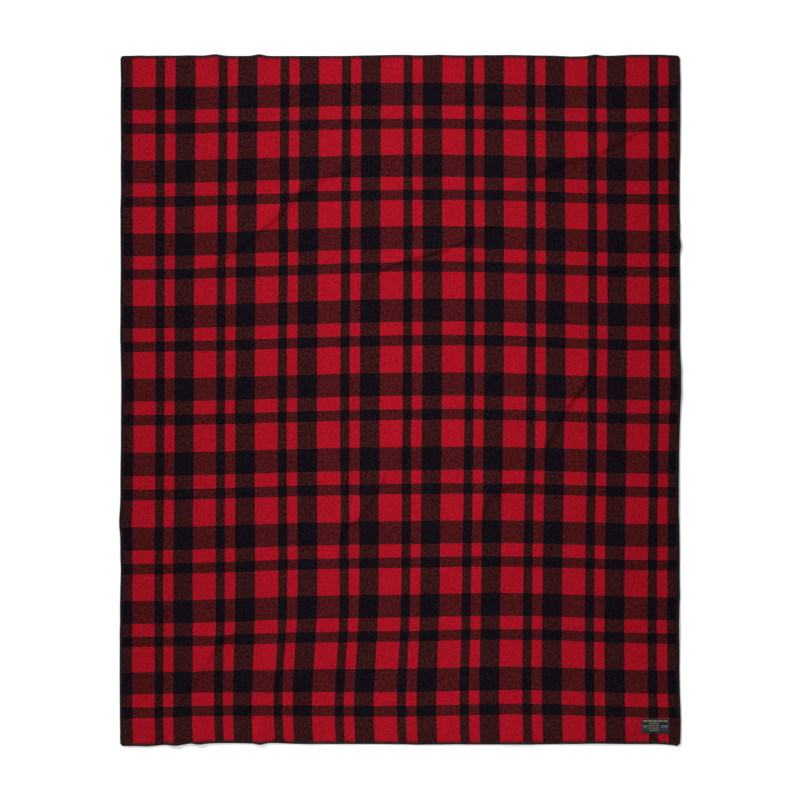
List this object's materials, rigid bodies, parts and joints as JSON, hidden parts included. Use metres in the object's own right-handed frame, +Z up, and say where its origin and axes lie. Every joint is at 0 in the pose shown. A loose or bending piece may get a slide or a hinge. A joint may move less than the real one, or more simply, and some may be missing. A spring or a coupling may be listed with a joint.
{
  "type": "camp blanket",
  "caption": "Rectangular camp blanket of thick wool plaid, laid flat, with a stitched edge all round and a small woven label sewn near one corner.",
  "frame": {"origin": "centre of the underside, on the surface that the blanket lies on", "axes": "+Z up out of the face with the label, +Y to the head end (the label is at the foot), +X to the right seen from above"},
  "size_m": [1.524, 1.8807, 0.0046],
  "materials": {
    "wool_cloth": "fulled wool in a red and black plaid, 2/2 twill",
    "edge_yarn": "black wool overedge yarn",
    "label_tape": "dark woven polyester tape",
    "label_figure": "pale raised weft",
    "label_patch": "brocaded green and blue weft",
    "sewing_thread": "dark polyester sewing thread"
  },
  "bodies": {
    "root": {"blanket_cloth": "wool_cloth", "edge_wraps_head": "edge_yarn", "edge_wraps_foot": "edge_yarn", "edge_wraps_left": "edge_yarn", "edge_wraps_right": "edge_yarn", "edge_purl_head": "edge_yarn", "edge_purl_foot": "edge_yarn", "edge_purl_left": "edge_yarn", "edge_purl_right": "edge_yarn", "yarn_tail": "edge_yarn", "label_ground": "label_tape", "label_bars": "label_figure", "label_patches": "label_patch", "label_needle_thread": "sewing_thread", "label_bobbin_thread": "sewing_thread"}
  },
  "joints": []
}
